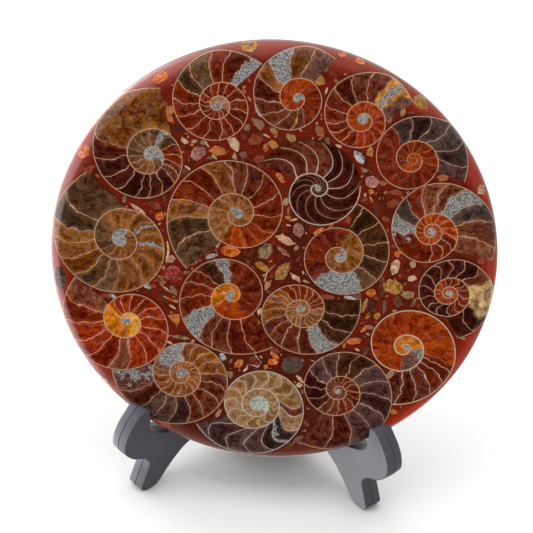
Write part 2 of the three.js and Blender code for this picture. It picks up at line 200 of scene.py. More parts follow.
# centre, mouth, grows, lip and radii are those of the solid beneath, in millimetres and degrees, with the
# radii carried on inwards for every quarter turn back from the mouth. septa: their bearings back from the
# mouth, after which they come at every pitch. bow and sway: how far, in degrees, a septum bends back in its
# middle and leans over from the outer wall to the inner. upright: the bearing from which it leans over in
# full. waver: how much the septa waver. fill: what the chambers hold from that bearing on, and how plainly
# their septa show, which is 1 where it isn't given. druse: stretches of grey crystals. heart and plug: the
# radius and filling of the first chambers. shell: the colour of the walls and septa. wall: how thick the
# walls are, as a share of the usual. bare: the bearing up to which the outer wall is worn away.
AMMONITES = {
    "ammonite_01": dict(
        centre=(-42.2, 34.2), mouth=86, lip=36, radii=[23.2, 19.6, 15.8, 10.4, 8.9, 8.0, 7.0, 3.9, 2.7],
        septa=[80, 101, 125, 144, 165, 181, 200, 222, 237, 254, 272, 299], pitch=23, bow=4, sway=2,
        fill=[(-40, "gold", 0.1), (80, "umber"), (101, "maroon"), (222, "umber"), (254, "amber"),
              (299, "olive", 0.5), (480, "gold", 0.7), (560, "olive", 0.5)],
        druse=[(325, 345), (600, 2000)], heart=2.8),
    "ammonite_03": dict(
        centre=(4.3, 57.3), mouth=53, radii=[18.0, 16.0, 12.6, 8.4, 7.3, 6.5, 4.9, 2.2],
        septa=[22, 47, 77, 100, 129, 155, 180, 207, 231], pitch=26, bow=0, sway=14,
        fill=[(-40, "taupe"), (22, "gold"), (47, "slate"), (77, "gold"), (100, "umber"),
              (231, "amber", 0.15), (360, "orange", 0.1)],
        druse=[(47, 77)], heart=2.0),
    "ammonite_02": dict(
        centre=(-21.8, 52.9), mouth=48, radii=[20.5, 16.1, 13.3, 11.3, 9.0, 6.4, 5.2, 4.5, 3.6, 2.6, 1.9],
        septa=[8, 30, 51, 80, 103, 128, 152, 176, 202, 229, 252, 275, 299, 326, 351], pitch=24, bow=5,
        sway=3,
        fill=[(-40, "silver", 0.4), (8, "rust"), (51, "olive"), (103, "rust"), (640, "cream")],
        druse=[(-40, 8)], heart=1.9),
    "ammonite_04": dict(
        centre=(26.0, 52.1), mouth=26, lip=25, radii=[17.0, 15.5, 12.0, 9.0, 6.5, 6.0, 5.2, 3.5, 2.3],
        septa=[14, 32, 57, 82, 110, 135, 161, 181, 201, 221], pitch=25, bow=5, sway=2,
        fill=[(-40, "taupe", 0.6), (14, "honey", 0.8), (32, "umber"), (110, "rust"), (221, "brick", 0.4),
              (360, "orange", 0.25)],
        druse=[(16, 24)], heart=2.3),
    "ammonite_05": dict(
        centre=(43.2, 39.7), mouth=-19, lip=5, radii=[18.6, 16.0, 12.8, 10.8, 8.5, 6.95, 5.85, 4.35, 3.0],
        septa=[20, 43, 70, 94, 121, 149], pitch=25, bow=-9, sway=8,
        fill=[(-40, "coffee"), (20, "black"), (43, "mud"), (70, "black"), (149, "rust", 0.1),
              (360, "amber", 0.35), (600, "orange", 0.3)],
        heart=2.8, plug="orange"),
    "ammonite_06": dict(
        centre=(13.0, 27.0), mouth=161, grows=1, radii=[20.5, 15.4, 13.8, 12.3, 8.0, 4.1, 3.0, 2.4, 2.0],
        septa=[5, 25, 45, 72, 92, 118, 145, 178, 205, 240], pitch=33, bow=14, sway=55, upright=240,
        waver=0.4,
        fill=[(-40, "umber"), (72, "maroon"), (145, "maroon", 0.6), (240, "maroon", 0.45)],
        heart=2.0, shell="CFBBA4", wall=1.35, bare=150),
    "ammonite_07": dict(
        centre=(-12.7, 15.6), mouth=233, grows=1, lip=10,
        radii=[26.3, 21.3, 17.1, 13.4, 10.9, 8.6, 6.2, 4.6, 3.5],
        septa=[16, 40, 61, 81, 102, 127, 147, 170, 197, 226, 256], pitch=24, bow=5, sway=2,
        fill=[(-40, "olive"), (40, "gold"), (61, "amber"), (102, "brown"), (127, "umber"), (170, "rust"),
              (226, "amber", 0.8), (256, "orange", 0.3), (340, "gold", 0.4)],
        heart=3.0),
    "ammonite_08": dict(
        centre=(-50.8, 3.3), mouth=119, lip=33, radii=[26.2, 21.6, 18.2, 13.0, 10.4, 8.2, 6.6, 4.6, 3.4],
        septa=[24, 46, 63, 83, 103, 124, 142, 176, 200], pitch=25, bow=6, sway=3,
        fill=[(-40, "olive"), (46, "gold"), (103, "olive"), (142, "gold", 0.5), (200, "gold", 0.3),
              (256, "gold", 0.4), (360, "olive", 0.3), (470, "gold", 0.4)],
        druse=[(225, 232), (262, 268)], heart=4.2),
    "ammonite_09": dict(
        centre=(-47.6, -26.0), mouth=140, radii=[23.3, 20.3, 16.5, 11.4, 8.4, 7.1, 5.7, 3.5, 2.1],
        septa=[20, 43, 67, 87, 112, 132, 155, 175, 202, 225, 248], pitch=24, bow=5, sway=3,
        fill=[(-40, "rose", 0.8), (20, "brick"), (112, "rose"), (132, "brick"), (360, "flame", 0.2),
              (500, "honey", 0)],
        heart=2.1),
    "ammonite_10": dict(
        centre=(-28.0, -44.3), mouth=165, radii=[25.0, 20.0, 16.7, 12.4, 10.0, 8.9, 6.9, 4.9, 4.1, 3.6, 2.8],
        septa=[36, 56, 74, 92, 114, 132, 155, 176, 195, 217, 238, 259, 279], pitch=20, bow=6, sway=3,
        fill=[(-40, "taupe", 0.3), (36, "umber"), (56, "coffee"), (114, "umber"), (195, "brown"),
              (259, "gold"), (279, "silver", 0.2), (335, "taupe", 0.5), (360, "brown")],
        druse=[(9, 19), (290, 335)], heart=2.6),
    "ammonite_12": dict(
        centre=(25.8, -45.6), mouth=241, radii=[24.2, 20.0, 15.9, 12.7, 10.1, 8.2, 6.0, 4.4, 3.5, 3.1, 1.9],
        septa=[21, 44, 67, 88, 111, 134, 159, 184, 210, 236, 266, 292, 320, 346], pitch=22, bow=5, sway=3,
        fill=[(-40, "umber"), (44, "coffee"), (159, "moss"), (210, "coffee"), (266, "maroon"),
              (346, "umber"), (400, "rust"), (560, "umber", 0.6)],
        heart=1.2),
    "ammonite_11": dict(
        centre=(-1.0, -53.3), mouth=205, radii=[23.0, 18.4, 14.9, 12.3, 11.5, 8.5, 6.9, 5.8, 5.5, 4.4, 3.4],
        septa=[20, 42, 65, 88, 105, 128, 152, 165, 194, 217, 242, 267, 292, 316, 339],
        pitch=25, bow=-16, sway=4,
        fill=[(-40, "coffee"), (88, "black"), (128, "khaki"), (152, "umber"), (165, "khaki"),
              (360, "khaki", 0.8), (560, "khaki", 0.5)],
        druse=[(104, 109)], heart=4.2, plug="sage", shell="C2C0B8", waver=1.2),
    "ammonite_13": dict(
        centre=(47.3, -27.2), mouth=255, radii=[22.8, 17.6, 14.2, 12.5, 9.5, 6.2, 4.7, 4.1, 3.0, 1.4],
        septa=[10, 27, 45, 62, 75, 84], pitch=28, bow=4, sway=3,
        fill=[(-40, "umber"), (45, "rust"), (84, "orange", 0), (360, "taupe", 0), (440, "flame", 0.1)],
        druse=[(425, 452)], heart=1.8, shell="CDB898", wall=1.4),
    "ammonite_14": dict(
        centre=(59.5, -6.2), mouth=288, lip=20,
        radii=[17.0, 15.0, 11.9, 9.9, 8.2, 6.8, 5.4, 4.6, 3.8, 2.9, 2.3],
        septa=[22, 46, 98, 122, 144, 169, 194, 222, 247, 272, 298, 324, 351], pitch=25, bow=-10, sway=4,
        fill=[(-40, "maroon"), (46, "tan", 0), (98, "umber"), (122, "maroon"), (360, "rust"),
              (560, "orange", 0.6)],
        heart=1.6),
    "ammonite_15": dict(
        centre=(51.3, 15.3), mouth=338, lip=15,
        radii=[23.1, 18.6, 13.7, 11.8, 9.5, 6.95, 5.15, 4.75, 3.95, 2.95, 2.2],
        septa=[9, 33, 56, 78, 98, 124, 148, 177, 202, 294, 317, 342], pitch=25, bow=5, sway=8,
        fill=[(-40, "rose"), (33, "mud"), (56, "slate"), (78, "rose"), (124, "rust"), (148, "mud"),
              (177, "slate"), (202, "amber"), (250, "rust"), (360, "orange", 0.8)],
        druse=[(56, 78), (177, 202)], heart=1.9),
    "ammonite_16": dict(
        centre=(22.0, 3.6), mouth=78, grows=1, radii=[20.0, 16.0, 13.2, 11.5, 10.2, 7.3, 5.5, 4.2, 3.2],
        septa=[9, 30, 55, 80, 107, 130], pitch=30, bow=2, sway=-10,
        fill=[(-40, "moss"), (80, "olive"), (130, "silver", 0), (205, "rust", 0.1), (360, "gold", 0.1)],
        druse=[(130, 205)], heart=3.2),
    "ammonite_17": dict(
        centre=(-12.8, -13.3), mouth=310, grows=1, lip=10,
        radii=[23.8, 19.6, 14.4, 11.3, 9.7, 7.9, 4.7, 3.1, 2.7, 2.3],
        septa=[15, 35, 54, 68, 92, 117, 140, 158, 190, 206], pitch=30, bow=5, sway=3,
        fill=[(-40, "rust"), (35, "umber"), (68, "silver"), (92, "amber"), (117, "rust"), (158, "moss"),
              (190, "silver"), (206, "rust", 0.1), (360, "orange", 0.1), (440, "flame", 0.1)],
        druse=[(68, 92), (190, 206)], heart=2.6),
    "ammonite_18": dict(
        centre=(11.2, -16.4), mouth=15, grows=1, lip=17,
        radii=[20.2, 17.2, 14.1, 9.2, 7.5, 6.9, 5.4, 3.4, 2.6],
        septa=[15, 38, 58, 82, 102, 126, 147, 165, 186, 202, 217, 232, 252, 272, 290, 310],
        pitch=19, bow=4, sway=3,
        fill=[(-40, "moss"), (58, "silver"), (82, "umber"), (165, "brown"), (232, "amber"), (360, "gold")],
        druse=[(58, 80)], heart=2.2),
}
# What holds for an ammonite unless its row says otherwise.
USUAL = dict(grows=-1, lip=0, druse=(), waver=2.6, upright=1, bare=0, shell="C89E80", wall=1,
             plug="silver")
AMMONITES = {name: USUAL | row for name, row in AMMONITES.items()}


def on_curve(before, here, after, beyond, t):
    """A value or a point part of the way from here to after, on the smooth curve through all four."""
    square = 2 * before - 5 * here + 4 * after - beyond
    cube = 3 * (here - after) + beyond - before
    return here + 0.5 * t * (after - before + t * (square + t * cube))


def wall_radius(radii, back):
    """The radius of the outer wall at a bearing back from the mouth, on a smooth curve through the radii."""
    last = len(radii) - 1

    def log_radius(index):
        if index < 0:
            return 2 * math.log(radii[0]) - math.log(radii[1])
        if index <= last:
            return math.log(radii[index])
        return log_radius(index - 4) + math.log(radii[last]) - math.log(radii[last - 4])

    start = math.floor(back / 90)
    return math.exp(on_curve(*(log_radius(start + i) for i in (-1, 0, 1, 2)), back / 90 - start))


def polar_point(fossil, back, radius):
    """A point on the face, from its bearing back from the mouth and its distance from the middle."""
    bearing = math.radians(fossil["mouth"] - fossil["grows"] * back)
    return fossil["centre"][0] + radius * math.cos(bearing), fossil["centre"][1] + radius * math.sin(bearing)


def chamber_count(fossil, septa, back):
    """Counts the chambers back from the mouth: a whole number at each septum, the first septum being 1."""
    if back <= septa[0]:
        return max(0.02, 1 - 0.95 * (septa[0] - back) / (septa[0] + fossil["lip"] + 20))
    for index in range(len(septa) - 1):
        if back < septa[index + 1]:
            return 1 + index + (back - septa[index]) / (septa[index + 1] - septa[index])
    return len(septa)


def squeeze_rim(x, y):
    """Draws the band over the rounded rim together, so that its steps come out equal round the curve."""
    distance = math.hypot(x, y)
    if distance <= FLAT_RADIUS:
        return x, y
    over = min((distance - FLAT_RADIUS) / EDGE_ROUND, 1)
    squeezed = FLAT_RADIUS + EDGE_ROUND * math.asin(over) * 2 / math.pi + max(0, distance - PLATE_RADIUS)
    return x * squeezed / distance, y * squeezed / distance


def wrap_rim(piece):
    """Bends the squeezed band down over the rounded rim, with its underside drawn in beneath it."""
    for vertex in piece.data.vertices:
        distance = math.hypot(vertex.co.x, vertex.co.y)
        if distance <= FLAT_RADIUS:
            continue
        angle = min((distance - FLAT_RADIUS) / EDGE_ROUND, 1) * math.pi / 2
        on_face = vertex.co.z > -RESIN_BELOW_STONE - 0.01
        width = EDGE_ROUND if on_face else EDGE_ROUND - UNDERSIDE_INSET
        vertex.co.xy *= (FLAT_RADIUS + width * math.sin(angle)) / distance
        if on_face:
            vertex.co.z -= EDGE_ROUND * (1 - math.cos(angle))


def circle(radius, sides):
    """The points of a circle about the middle."""
    angles = (2 * math.pi * side / sides for side in range(sides))
    return [(radius * math.cos(angle), radius * math.sin(angle)) for angle in angles]


def drawn_in(points, inset):
    """A closed outline, anticlockwise, drawn in evenly by a distance."""
    moved = []
    for index, (x, y) in enumerate(points):
        here = Vector((x, y))
        before = (here - Vector(points[index - 1])).normalized()
        after = (Vector(points[(index + 1) % len(points)]) - here).normalized()
        inward = Vector((-before.y - after.y, before.x + after.x)).normalized()
        moved.append(here + inward * inset / max(inward.dot(Vector((-before.y, before.x))), 0.5))
    return moved


def block_on(name, points, layers):
    """A block on an outline, with the heights of its layers and how far the edge is drawn in at each."""
    clear_selection()
    bpy.ops.mesh.primitive_circle_add(vertices=len(points), radius=1, fill_type="NGON")
    block = bpy.context.object
    block.name = name
    (height, inset), *others = layers
    ring = drawn_in(points, inset) if inset else points
    for vertex, (x, y) in zip(block.data.vertices, ring):
        vertex.co = (x, y, height)
    bpy.ops.object.mode_set(mode="EDIT")
    bpy.ops.mesh.select_all(action="SELECT")
    for next_height, next_inset in others:
        bpy.ops.mesh.extrude_region_move(TRANSFORM_OT_translate={"value": (0, 0, next_height - height)})
        if next_inset != inset:
            next_ring = drawn_in(points, next_inset)
            shape = bmesh.from_edit_mesh(block.data)
            for vertex in [v for v in shape.verts if v.select]:
                index = min(range(len(ring)), key=lambda i: math.dist(vertex.co.xy, ring[i]))
                vertex.co.xy = next_ring[index]
            bmesh.update_edit_mesh(block.data)
            ring = next_ring
        height, inset = next_height, next_inset
    bpy.ops.mesh.select_all(action="SELECT")
    bpy.ops.mesh.normals_make_consistent(inside=False)
    bpy.ops.object.mode_set(mode="OBJECT")
    return block


def cut(piece, cutter, operation):
    """Cuts a piece by another, or keeps only what lies in both."""
    clear_selection()
    bpy.context.view_layer.objects.active = piece
    boolean = piece.modifiers.new("cut", "BOOLEAN")
    boolean.object = cutter
    boolean.operation = operation
    boolean.solver = "MANIFOLD"
    bpy.ops.object.modifier_apply(modifier="cut")


def refine_rim(piece):
    """Splits the long edges on the rim band, so that the face follows the rounded rim closely."""
    def off_flat(vertices):
        return max(math.hypot(v.co.x, v.co.y) for v in vertices) > FLAT_RADIUS - 0.1

    shape = bmesh.new()
    shape.from_mesh(piece.data)
    for _ in range(4):
        bmesh.ops.triangulate(shape, faces=[f for f in shape.faces if off_flat(f.verts) and len(f.verts) > 3])
        long = [e for e in shape.edges if e.calc_length() > RIM_EDGE and min(v.co.z for v in e.verts) > -0.1
                and off_flat(e.verts)]
        if not long:
            break
        bmesh.ops.subdivide_edges(shape, edges=long, cuts=1)
    bmesh.ops.triangulate(shape, faces=[f for f in shape.faces if len(f.verts) > 4])
    shape.to_mesh(piece.data)
    shape.free()


def repeats(size):
    """How often a pattern of a size in millimetres repeats in a metre."""
    return 1 / (size * MM)


def calcite_material(name, fossil, septa, end):
    """Chambers of calcite between cream walls, sawn and polished: deep colour under a wet gloss."""
    material, tree, shader = new_material("fossil_calcite_sawn_and_polished_" + name[-2:], 0.1, 1.56)
    spot = add_node(tree, "TexCoord", output="Object")
    count, across, _ = add_node(tree, "SeparateXYZ", add_node(tree, "UVMap", uv_map="whorl")).node.outputs
    pitch, width, _ = add_node(tree, "SeparateXYZ", add_node(tree, "UVMap", uv_map="sizes")).node.outputs

    # Each point's chamber, counted back from the mouth, where the septa waver by a quarter of a millimetre.
    chamber = add_node(tree, "TexNoise", spot, Scale=repeats(SEPTUM_WAVE), Detail=2)
    for operation, value in (
            ("SUBTRACT", 0.5), ("MULTIPLY", fossil["waver"]), ("DIVIDE", pitch), ("ADD", count)):
        chamber = add_node(tree, "Math", chamber, value, operation=operation)
    half = add_node(tree, "Math", chamber, 0.5, operation="PINGPONG")
    off_septum = add_node(tree, "Math", half, pitch, operation="MULTIPLY")
    off_outer = add_node(tree, "Math", across, width, operation="MULTIPLY")
    off_inner = add_node(tree, "Math", width, off_outer, operation="SUBTRACT")
    # The outer wall keeps a dark skin on its outside, up to where the second whorl is covered by the first.
    outermost = chamber_count(fossil, septa, 360 - fossil["lip"])
    outside = add_node(tree, "Math", chamber, outermost, operation="LESS_THAN")
    off_middle = add_node(tree, "Math", outside, -SKIN, off_outer, operation="MULTIPLY_ADD")
    off_middle = add_node(tree, "Math", off_middle, operation="ABSOLUTE")
    bare = chamber_count(fossil, septa, fossil["bare"]) if fossil["bare"] else 0
    worn = add_node(tree, "Math", chamber, bare, operation="LESS_THAN")
    off_middle = add_node(tree, "Math", off_middle, worn)
    off_wall = add_node(tree, "Math", off_middle, off_inner, operation="MINIMUM")
    off_shell = add_node(tree, "Math", off_wall, off_septum, operation="MINIMUM")

    # One filling runs into the next over a ragged third of a chamber.
    total = chamber_count(fossil, septa, end) + 2
    ragged = add_node(tree, "TexNoise", spot, Scale=repeats(RAGGED_END), Detail=4, Roughness=0.6)
    ragged = add_node(tree, "Math", ragged, 1.1, -0.55, operation="MULTIPLY_ADD")
    along = add_node(tree, "Math", chamber, ragged)
    along = add_node(tree, "Math", along, total, operation="DIVIDE")
    shades = []
    for shade in (0, 1):
        shades.append(add_node(tree, "ValToRGB", along).node)
        stops = shades[-1].color_ramp.elements
        stops.remove(stops[1])
        for index, (back, filling, *plainness) in enumerate(fossil["fill"]):
            colour = linear(FILLINGS[filling][shade])[:3] + (plainness or [1])
            if index == 0:
                stops[0].position = 0
                stops[0].color = colour
            else:
                place = chamber_count(fossil, septa, back)
                stops.new((place - GIVE_WAY) / total).color = colour_before
                stops.new((place + GIVE_WAY) / total).color = colour
            colour_before = colour
    dark, light = (ramp.outputs["Color"] for ramp in shades)
    crystals = add_node(tree, "ValToRGB", along)
    crystals.node.color_ramp.interpolation = "CONSTANT"
    marks = crystals.node.color_ramp.elements
    marks[0].color = (0, 0, 0, 1)
    marks[1].position = 1
    marks[1].color = (0, 0, 0, 1)
    for low, high in fossil["druse"]:
        marks.new(min(chamber_count(fossil, septa, low) / total, 0.998)).color = (1, 1, 1, 1)
        marks.new(min(chamber_count(fossil, septa, high) / total, 0.999)).color = (0, 0, 0, 1)

    # The calcite is clouded in blotches, more in one chamber than in the next, grown in fibres across the
    # whorl, paler against the shell, and specked with dark and bright grains.
    cloud = add_node(tree, "TexNoise", spot, Scale=repeats(BLOTCH), Detail=4, Roughness=0.55, Distortion=1.6)
    fibre_along = add_node(tree, "Math", chamber, 7.0, operation="MULTIPLY")
    fibre_across = add_node(tree, "Math", off_outer, 0.35, operation="MULTIPLY")
    fibre_place = add_node(tree, "CombineXYZ", fibre_along, fibre_across)
    fibre = add_node(tree, "TexNoise", fibre_place, Scale=1, Detail=4, Roughness=0.6)
    own = add_node(tree, "Math", chamber, operation="FLOOR")
    own = add_node(tree, "TexWhiteNoise", own, noise_dimensions="1D")
    edge = add_node(tree, "MapRange", off_shell, *PALE_BAND, 0, 0.42, interpolation_type="SMOOTHSTEP")
    speck = add_node(tree, "TexNoise", spot, Scale=repeats(SPECK), Detail=3)
    clouded = add_node(tree, "Math", own, 2.4, 0.9, operation="MULTIPLY_ADD")
    centred = add_node(tree, "Math", cloud, 0.5, operation="SUBTRACT")
    tone = -0.95
    for pattern, share in ((centred, clouded), (fibre, 1.1), (own, 0.5), (speck, 0.9)):
        tone = add_node(tree, "Math", pattern, share, tone, operation="MULTIPLY_ADD")
    tone = add_node(tree, "Math", tone, edge, use_clamp=True)
    body = add_node(tree, "Mix", tone, dark, light, data_type="RGBA")

    # Its crystals lean to orange or to grey, and glint or darken, in grains from half a millimetre to two.
    rich = add_node(tree, "TexNoise", spot, Scale=repeats(HUE_GRAIN), Detail=5, Roughness=0.65,
                    Distortion=0.8)
    rich = add_node(tree, "MapRange", rich, 0.36, 0.64, 0.88, 1.26)
    warm = add_node(tree, "MapRange", fibre, 0.35, 0.65, 0.481, 0.504)
    glint = add_node(tree, "TexNoise", spot, Scale=repeats(GLINT), Detail=3)
    glint = add_node(tree, "MapRange", glint, 0.36, 0.66, 0.76, 1.2)
    body = add_node(tree, "HueSaturation", warm, rich, glint, Color=body)
    # Grey crystals: grains of a third of a millimetre, each light or dark.
    grit = add_node(tree, "TexVoronoi", spot, Scale=repeats(GREY_GRAIN), output="Color")
    grit = add_node(tree, "MapRange", grit, 0.18, 0.8)
    grit = add_node(tree, "Mix", grit, linear("423F3D"), linear("A6A4A2"), data_type="RGBA")

    # Septa a quarter of a millimetre thick that fade in and out, finer towards the middle, and a slightly
    # thicker wall, under its dark skin.
    line = add_node(tree, "MapRange", off_septum, *SEPTUM_LINE, interpolation_type="SMOOTHSTEP")
    fade = add_node(tree, "MapRange", cloud, 0.3, 0.55, 0.55, 1.0)
    fine = add_node(tree, "MapRange", pitch, 0.8, 3.0, 0.5, 1.0)
    for share in (shades[0].outputs["Alpha"], fade, fine):
        line = add_node(tree, "Math", line, share, operation="MULTIPLY")
    wall_line = (off * fossil["wall"] for off in WALL_LINE)
    wall = add_node(tree, "MapRange", off_wall, *wall_line, interpolation_type="SMOOTHSTEP")
    shell = add_node(tree, "Math", line, wall, operation="MAXIMUM")
    shell = add_node(tree, "Math", shell, SHELL_COVER, operation="MULTIPLY")
    skin = add_node(tree, "MapRange", off_outer, *SKIN_LINE, 0, SKIN_COVER, interpolation_type="SMOOTHSTEP")
    skin = add_node(tree, "Math", skin, outside, operation="MULTIPLY")
    for share, colour in ((crystals, grit), (shell, linear(fossil["shell"])), (skin, linear("1E0C08"))):
        body = add_node(tree, "Mix", share, body, colour, data_type="RGBA")
    tree.links.new(body, shader["Base Color"])
    return material


def heart_material(filling):
    """The first chambers: a plug of crystals half a millimetre across."""
    material, tree, shader = new_material("calcite_plug_" + filling, 0.15, 1.56)
    spot = add_node(tree, "TexCoord", output="Object")
    light = add_node(tree, "TexVoronoi", spot, Scale=repeats(HEART_GRAIN), output="Color")
    light = add_node(tree, "MapRange", light, 0.1, 0.75)
    shade = add_node(tree, "Mix", light, *map(linear, FILLINGS[filling]), data_type="RGBA")
    tree.links.new(shade, shader["Base Color"])
    return material


heart_materials = {filling: heart_material(filling) for filling in ("silver", "orange", "sage")}
rim_disc = block_on("rim_disc", circle(PLATE_RADIUS, 360), ((-2 * FOSSIL_DEPTH, 0), (FOSSIL_DEPTH, 0)))
laid = {}
for name, fossil in AMMONITES.items():
    radii = fossil["radii"]
    lip_steps = round(fossil["lip"] / STEP)
    turn_steps = round(360 / STEP)
    steps = 0
    while wall_radius(radii, steps * STEP) > fossil["heart"]:
        steps += 1
    septa = list(fossil["septa"])
    while septa[-1] < steps * STEP + 60:
        septa.append(septa[-1] + fossil["pitch"])
    # The mouth runs straight from the end of the outer wall to the whorl inside it.
    lip = lip_steps * STEP
    mouth_outer, mouth_inner = wall_radius(radii, 0), wall_radius(radii, 360 - lip)

    clear_selection()
    bpy.ops.mesh.primitive_grid_add(x_subdivisions=lip_steps + steps, y_subdivisions=ACROSS_STEPS, size=1)
    piece = bpy.context.object
    piece.name = name + "_polished"
    mesh = piece.data
    places = {}
    for vertex in mesh.vertices:
        back = (round((vertex.co.x + 0.5) * (lip_steps + steps)) - lip_steps) * STEP
        outer, inner = wall_radius(radii, back), wall_radius(radii, back + 360)
        edge = outer
        if back < 0:
            past, left = math.radians(-back), math.radians(lip + back)
            edge = mouth_outer * mouth_inner * math.sin(math.radians(lip)) / (
                mouth_outer * math.sin(past) + mouth_inner * math.sin(left))
        radius = edge + (inner - edge) * (vertex.co.y + 0.5)
        across = max(0, (outer - radius) / (outer - inner))
        sway = fossil["sway"] * min(max(back / fossil["upright"], 0), 1)
        lag = fossil["bow"] * math.sin(math.pi * across) + sway * across
        count = chamber_count(fossil, septa, back - lag)
        gained = max(chamber_count(fossil, septa, back - lag + STEP) - count, 0.03)
        chamber_length = min(radius * math.radians(STEP) / gained, LONGEST_CHAMBER)
        places[vertex.index] = (count, across), (chamber_length, outer - inner)
        vertex.co = (*squeeze_rim(*polar_point(fossil, back, radius)), -FOSSIL_DEPTH)
    mesh.uv_layers[0].name = "whorl"
    mesh.uv_layers.new(name="sizes")
    for loop in mesh.loops:
        for layer, place in zip(("whorl", "sizes"), places[loop.vertex_index]):
            mesh.uv_layers[layer].data[loop.index].uv = place
    mesh.materials.append(calcite_material(name, fossil, septa, steps * STEP))
    mesh.materials.append(heart_materials[fossil["plug"]])

    # The whorls are joined along their shared wall, the heart is closed, and the slice gets its thickness.
    bpy.ops.object.mode_set(mode="EDIT")
    bpy.ops.mesh.select_all(action="SELECT")
    bpy.ops.mesh.remove_doubles(threshold=WELD)
    shape = bmesh.from_edit_mesh(mesh)
    centre = Vector((*fossil["centre"], -FOSSIL_DEPTH))
    heart_edge = wall_radius(radii, steps * STEP) + 0.05
    for edge in shape.edges:
        edge.select_set(edge.is_boundary and all((v.co - centre).length < heart_edge for v in edge.verts))
    bmesh.update_edit_mesh(mesh)
    bpy.ops.mesh.edge_face_add()
    shape = bmesh.from_edit_mesh(mesh)
    for face in shape.faces:
        if len(face.verts) > 4:
            face.material_index = 1
    bmesh.update_edit_mesh(mesh)
    bpy.ops.mesh.select_all(action="SELECT")
    bpy.ops.mesh.extrude_region_move(TRANSFORM_OT_translate={"value": (0, 0, FOSSIL_DEPTH)})
    bpy.ops.mesh.select_all(action="SELECT")
    bpy.ops.mesh.normals_make_consistent(inside=False)
    bpy.ops.object.mode_set(mode="OBJECT")

    # Neighbours laid earlier were ground against it: it stops at a hair of resin short of them.
    x, y = fossil["centre"]
    for other, (other_x, other_y, reach, cutter) in laid.items():
        if math.hypot(other_x - x, other_y - y) < reach + max(radii):
            cut(piece, cutter, "DIFFERENCE")
    if math.hypot(x, y) + max(radii) > FLAT_RADIUS:
        cut(piece, rim_disc, "INTERSECT")
    outline = [
        squeeze_rim(*polar_point(fossil, i * STEP, wall_radius(radii, i * STEP) + RESIN_LINE))
        for i in range(turn_steps - lip_steps + 1)]
    laid[name] = x, y, max(radii), block_on(name + "_pocket", outline, ((-FOSSIL_DEPTH - 1, 0), (1, 0)))

    refine_rim(piece)
    wrap_rim(piece)
    smooth(piece, 30)
    lay_on_plate(piece)
    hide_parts(name)
    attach(piece, PLATE_BODY)
for _, _, _, cutter in laid.values():
    bpy.data.objects.remove(cutter)
bpy.data.objects.remove(rim_disc)

# ---- Loose chips ----
# Broken bits of shell, calcite and mudstone that fill the gaps between the ammonites, ground flush with them.
# The larger ones are pieces of their own, and the slivers and crumbs lie scattered among them at every depth.
CHIP_DEPTH = 2.5
CHIP_TOP = -0.01
SLIVER_TOP = CHIP_TOP - 0.004
RUBBLE_TOP = CHIP_TOP - 0.012
# The darkest and the lightest shade of each stone.
STONES = {
    "shell": ("8A5C3C", "DDBC94"), "pink": ("5E3026", "B88A78"), "orange": ("8A3206", "E08A30"),
    "gold": ("4A2A0C", "C09448"), "brown": ("2A1008", "7E4020"), "grey": ("3A3634", "C4C2C0"),
    "olive": ("4A3624", "A2865E"), "taupe": ("2A1C18", "6A5448"), "red": ("3E0E08", "A0503C"),
}
